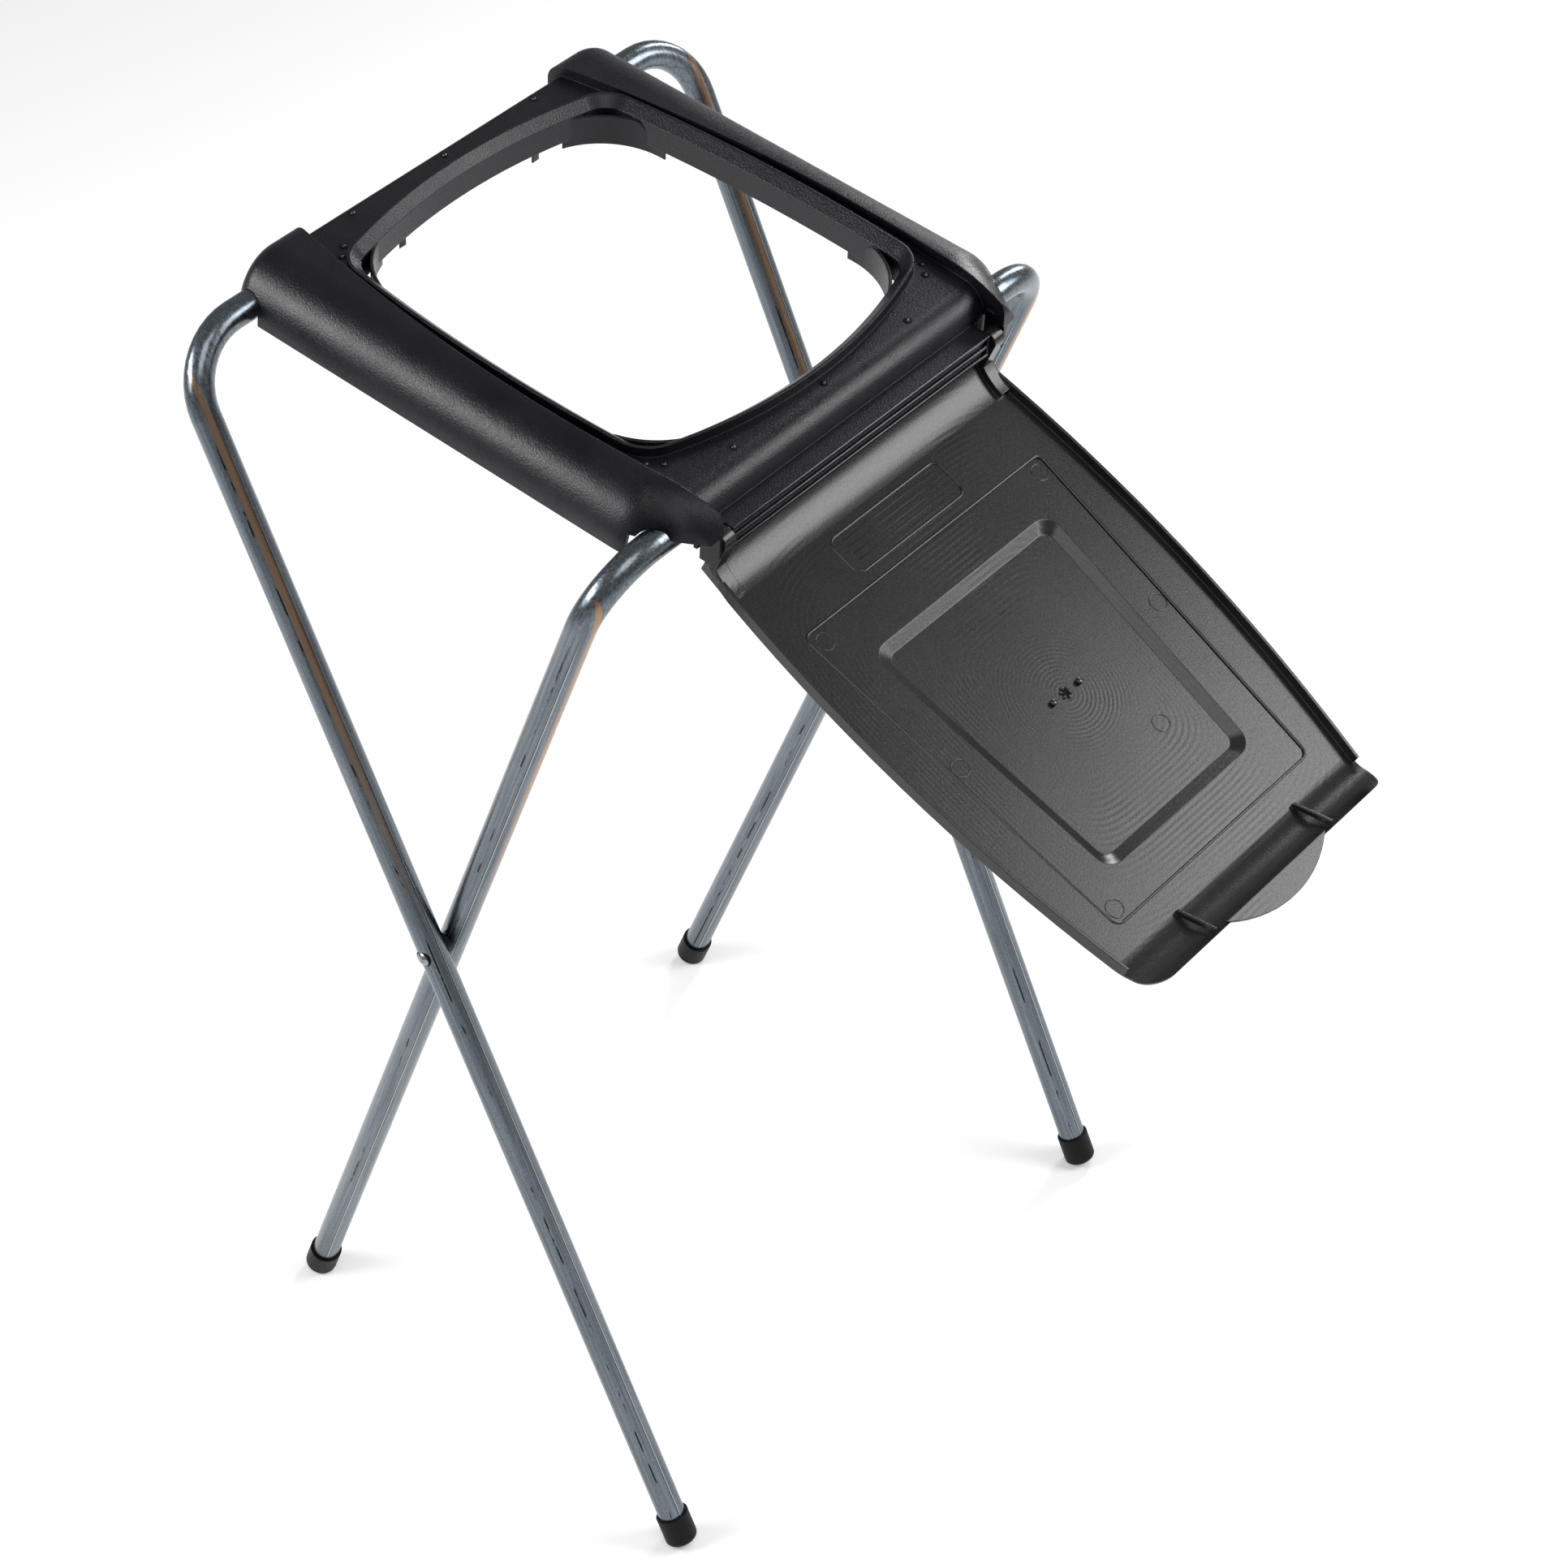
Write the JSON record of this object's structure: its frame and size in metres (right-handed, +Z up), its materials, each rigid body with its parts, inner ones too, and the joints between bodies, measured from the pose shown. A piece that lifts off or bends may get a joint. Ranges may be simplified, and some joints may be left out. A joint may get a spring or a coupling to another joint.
{
  "type": "folding bin bag holder",
  "caption": "Folding floor stand that holds a bin bag open: crossed tube legs, a moulded top frame with a bag mouth and corner clips, and a hinged lid.",
  "frame": {"origin": "on the floor below the middle of the whole outline, with the lid open", "axes": "+X along the two cross bars, -Y to the front where the open lid is, +Z up"},
  "size_m": [0.476, 0.7008, 0.8855],
  "materials": {
    "leg_tube": "zinc-plated steel with a blue grey sheen",
    "rivet": "plain domed steel",
    "spacer": "black moulded",
    "foot_cap": "black soft plastic",
    "frame_plastic": "fine grained black",
    "lid_plastic": "fine grained dark grey"
  },
  "bodies": {
    "outer_legs": {"outer_leg_frame": "leg_tube", "rivet_left": "rivet", "rivet_right": "rivet", "spacer_left": "spacer", "spacer_right": "spacer", "foot_cap_front_left": "foot_cap", "foot_cap_front_right": "foot_cap"},
    "inner_legs": {"inner_leg_frame": "leg_tube", "foot_cap_back_left": "foot_cap", "foot_cap_back_right": "foot_cap"},
    "top": {"top_frame": "frame_plastic"},
    "lid": {"lid": "lid_plastic"}
  },
  "joints": [
    {"name": "leg_fold", "type": "hinge", "parent": "outer_legs", "child": "inner_legs", "pos_m": [0, 0.15371, 0.4546], "axis": [-1, 0, 0], "range_deg": [0, 43]},
    {"name": "top_tilt", "type": "hinge", "parent": "outer_legs", "child": "top", "pos_m": [0, 0.3206, 0.8575], "axis": [-1, 0, 0], "range_deg": [0, 117.9]},
    {"name": "lid_hinge", "type": "hinge", "parent": "top", "child": "lid", "pos_m": [0, -0.02403, 0.82137], "axis": [-1, 0, 0], "range_deg": [0, 200]}
  ],
  "couplings": [
    {"joint": "top_tilt", "follows": "leg_fold", "ratio": 2.74}
  ]
}
